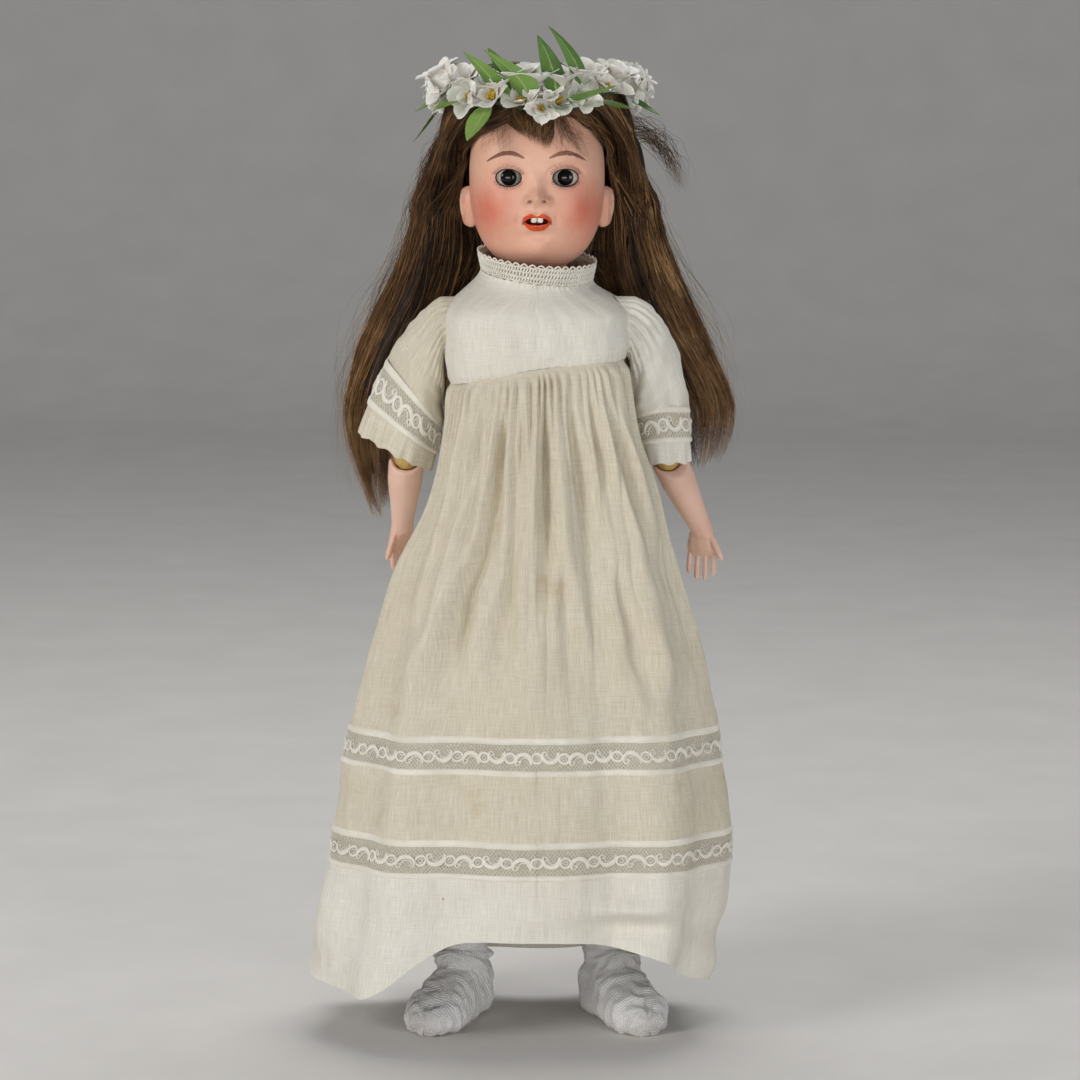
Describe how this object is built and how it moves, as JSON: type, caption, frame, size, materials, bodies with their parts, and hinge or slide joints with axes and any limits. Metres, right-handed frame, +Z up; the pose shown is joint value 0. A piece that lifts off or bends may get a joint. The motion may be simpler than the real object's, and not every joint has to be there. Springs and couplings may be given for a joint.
{
  "type": "ball-jointed porcelain head doll",
  "caption": "Standing doll with a bisque socket head, weighted sleeping eyes, strung composition limbs, long wig, flower wreath and lace-trimmed white dress.",
  "frame": {"origin": "on the floor under the middle of the whole outline", "axes": "+Z up, the doll faces -Y, its own left side is +X"},
  "size_m": [0.2606, 0.1595, 0.6042],
  "materials": {
    "composition": "painted and varnished flesh tone over wood-pulp composition",
    "wood": "turned wood, worn paint",
    "knit": "fine white cotton knit",
    "steel": "plain steel wire",
    "elastic": "cotton-covered elastic cord",
    "bisque": "matt tinted bisque, fired colours",
    "cardboard": "raw",
    "eye_glass": "blown glass, dark brown iris",
    "lead": "dull grey cast lead",
    "enamel": "glossy",
    "felt": "felt",
    "hair": "dark brown fibre, waved",
    "green_wire": "paper-wrapped wire",
    "petal": "stiffened white cloth",
    "leaf": "stiffened green cloth",
    "white_lawn": "plain white cotton lawn",
    "lawn": "aged cream cotton lawn",
    "lace": "machine lace with scrolls and rings",
    "china": "glossy china"
  },
  "bodies": {
    "torso": {"torso": "composition", "neck_hook": "steel", "arm_elastic": "elastic", "leg_elastic_left": "elastic", "leg_elastic_right": "elastic", "bodice": "white_lawn", "collar": "lace", "button_1": "china", "button_2": "china", "skirt_upper_panel": "lawn", "lace_upper": "lace", "skirt_middle_panel": "lawn", "lace_lower": "lace", "skirt_hem_panel": "white_lawn"},
    "head": {"bisque_head": "bisque", "pate": "cardboard", "upper_teeth": "enamel", "tongue": "felt", "neck_plug": "wood", "wig_crown": "hair", "fringe": "hair", "hair_left": "hair", "hair_right": "hair", "hair_back": "hair", "wreath_ring": "green_wire", "flower_1": "petal", "flower_2": "petal", "flower_3": "petal", "flower_4": "petal", "flower_5": "petal", "flower_6": "petal", "leaf_1": "leaf", "leaf_2": "leaf", "leaf_3": "leaf", "leaf_4": "leaf"},
    "eyes": {"eye_left": "eye_glass", "eye_right": "eye_glass", "eye_rocker": "steel", "eye_weight": "lead"},
    "upper_arm_left": {"upper_arm_left": "composition", "shoulder_ball_left": "wood", "sleeve_left": "lawn", "cuff_left": "lace"},
    "upper_arm_right": {"upper_arm_right": "composition", "shoulder_ball_right": "wood", "sleeve_right": "lawn", "cuff_right": "lace"},
    "forearm_left": {"forearm_left": "composition", "elbow_ball_left": "wood"},
    "forearm_right": {"forearm_right": "composition", "elbow_ball_right": "wood"},
    "thigh_left": {"thigh_left": "composition"},
    "thigh_right": {"thigh_right": "composition"},
    "lower_leg_left": {"lower_leg_left": "composition", "knee_ball_left": "wood", "sock_left": "knit"},
    "lower_leg_right": {"lower_leg_right": "composition", "knee_ball_right": "wood", "sock_right": "knit"}
  },
  "joints": [
    {"name": "head_turn", "type": "hinge", "parent": "torso", "child": "head", "pos_m": [0.011, 0.011, 0.45633], "axis": [0, 0, 1], "range_deg": [-60, 60], "deforming": ["hair_left", "hair_right", "hair_back"]},
    {"name": "eyes_sleep", "type": "hinge", "parent": "head", "child": "eyes", "pos_m": [0.011, -0.0186, 0.52133], "axis": [1, 0, 0], "range_deg": [0, 60]},
    {"name": "arm_swing_left", "type": "hinge", "parent": "torso", "child": "upper_arm_left", "pos_m": [0.07, 0.007, 0.43033], "axis": [-1, 0, 0], "range_deg": [-10, 110], "deforming": ["sleeve_left", "cuff_left"]},
    {"name": "arm_swing_right", "type": "hinge", "parent": "torso", "child": "upper_arm_right", "pos_m": [-0.048, 0.007, 0.43033], "axis": [-1, 0, 0], "range_deg": [-10, 110], "deforming": ["sleeve_right", "cuff_right"]},
    {"name": "elbow_bend_left", "type": "hinge", "parent": "upper_arm_left", "child": "forearm_left", "pos_m": [0.09032, 0.0141, 0.34914], "axis": [-1, 0, 0], "range_deg": [0, 100]},
    {"name": "elbow_bend_right", "type": "hinge", "parent": "upper_arm_right", "child": "forearm_right", "pos_m": [-0.06832, 0.01693, 0.34943], "axis": [-1, 0, 0], "range_deg": [0, 100]},
    {"name": "leg_swing_left", "type": "hinge", "parent": "torso", "child": "thigh_left", "pos_m": [0.043, 0.009, 0.27233], "axis": [-1, 0, 0], "range_deg": [-15, 75], "deforming": ["skirt_upper_panel", "lace_upper", "skirt_middle_panel", "lace_lower", "skirt_hem_panel"]},
    {"name": "leg_swing_right", "type": "hinge", "parent": "torso", "child": "thigh_right", "pos_m": [-0.021, 0.009, 0.27233], "axis": [-1, 0, 0], "range_deg": [-15, 75]},
    {"name": "knee_bend_left", "type": "hinge", "parent": "thigh_left", "child": "lower_leg_left", "pos_m": [0.05032, 0.01532, 0.15172], "axis": [1, 0, 0], "range_deg": [0, 80]},
    {"name": "knee_bend_right", "type": "hinge", "parent": "thigh_right", "child": "lower_leg_right", "pos_m": [-0.02832, 0.01532, 0.15172], "axis": [1, 0, 0], "range_deg": [0, 80]}
  ]
}
